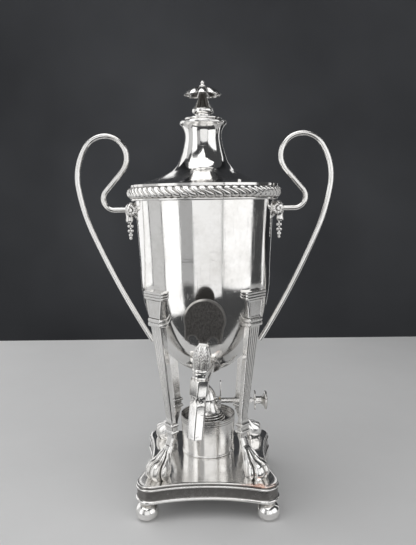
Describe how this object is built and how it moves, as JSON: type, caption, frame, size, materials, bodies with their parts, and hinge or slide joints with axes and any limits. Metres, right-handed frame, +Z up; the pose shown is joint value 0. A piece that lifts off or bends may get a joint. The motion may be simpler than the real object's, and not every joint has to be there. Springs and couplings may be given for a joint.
{
  "type": "tea urn",
  "caption": "Silver-plated tea urn: ovoid vessel on four fluted legs, lift-off lid, wire handles, front tap with a wooden key, and a spirit lamp on an incurved square plinth.",
  "frame": {"origin": "on the surface that the urn stands on, under the middle of the plinth and of the vessel", "axes": "+Z up along the vessel's axis, -Y towards the tap, +X towards the lamp's winder"},
  "size_m": [0.2792, 0.1946, 0.4549],
  "materials": {
    "silver_plate": "hand-polished silver plate on copper, bright, with soft scratches",
    "ebonised_wood": "dull black-stained wood with worn grain",
    "brass": "turned brass, unplated",
    "cotton_wick": "woven cotton, charred at its top"
  },
  "bodies": {
    "urn": {"ball_foot_front_left": "silver_plate", "ball_foot_front_right": "silver_plate", "ball_foot_rear_left": "silver_plate", "ball_foot_rear_right": "silver_plate", "base_lower_bead": "silver_plate", "base_plate": "silver_plate", "base_upper_bead": "silver_plate", "capital_front_left": "silver_plate", "capital_front_right": "silver_plate", "capital_rear_left": "silver_plate", "capital_rear_right": "silver_plate", "corner_gussets": "silver_plate", "foot_nuts": "brass", "gadroon_rim": "silver_plate", "handle_left": "silver_plate", "handle_right": "silver_plate", "leg_front_left": "silver_plate", "leg_front_right": "silver_plate", "leg_rear_left": "silver_plate", "leg_rear_right": "silver_plate", "mask_pendant_left": "silver_plate", "mask_pendant_right": "silver_plate", "paw_front_left": "silver_plate", "paw_front_right": "silver_plate", "paw_rear_left": "silver_plate", "paw_rear_right": "silver_plate", "paw_screws": "brass", "ram_mask_left": "silver_plate", "ram_mask_right": "silver_plate", "rim_bead": "silver_plate", "tap_barrel": "silver_plate", "tap_rosette": "silver_plate", "urn_body": "silver_plate"},
    "lid": {"lid_cover": "silver_plate", "lid_bezel": "silver_plate", "lid_stud": "silver_plate", "neck_flange": "silver_plate", "finial_stem": "silver_plate", "finial_nut": "brass", "finial_parasol": "silver_plate", "finial_tip": "silver_plate"},
    "tap_key": {"tap_plug": "silver_plate", "key_handle": "ebonised_wood", "key_pin": "brass"},
    "lamp": {"lamp_reservoir": "silver_plate", "lamp_deck": "silver_plate", "lamp_collar": "silver_plate", "burner_cone": "silver_plate", "winder_tube": "silver_plate", "snuffer_bracket": "silver_plate", "snuffer_pin": "brass"},
    "wick_strip": {"wick": "cotton_wick"},
    "winder": {"winder_shaft": "brass", "winder_disc": "silver_plate", "winder_knob": "silver_plate"},
    "snuffer": {"snuffer_cap": "silver_plate"}
  },
  "joints": [
    {"name": "lid_lift", "type": "slide", "parent": "urn", "child": "lid", "axis": [0, 0, 1], "range_m": [0, 0.12]},
    {"name": "tap_turn", "type": "hinge", "parent": "urn", "child": "tap_key", "pos_m": [-0.00508, -0.10172, 0.1554], "axis": [0.0953, -0.0104, 0.9954], "continuous": true},
    {"name": "lamp_slide", "type": "slide", "parent": "urn", "child": "lamp", "axis": [0, -1, 0], "range_m": [0, 0.04]},
    {"name": "winder_turn", "type": "hinge", "parent": "lamp", "child": "winder", "pos_m": [0, 0.0232, 0.0956], "axis": [-1, 0, 0], "range_deg": [-80, 80]},
    {"name": "wick_rise", "type": "slide", "parent": "lamp", "child": "wick_strip", "axis": [0, 0, 1], "range_m": [-0.0037, 0.0037]},
    {"name": "snuffer_lift", "type": "hinge", "parent": "lamp", "child": "snuffer", "pos_m": [0.0142, 0.0173, 0.101], "axis": [0, 1, 0], "range_deg": [0, 80]}
  ],
  "couplings": [
    {"joint": "wick_rise", "follows": "winder_turn", "m_per_rad": 0.0026}
  ]
}
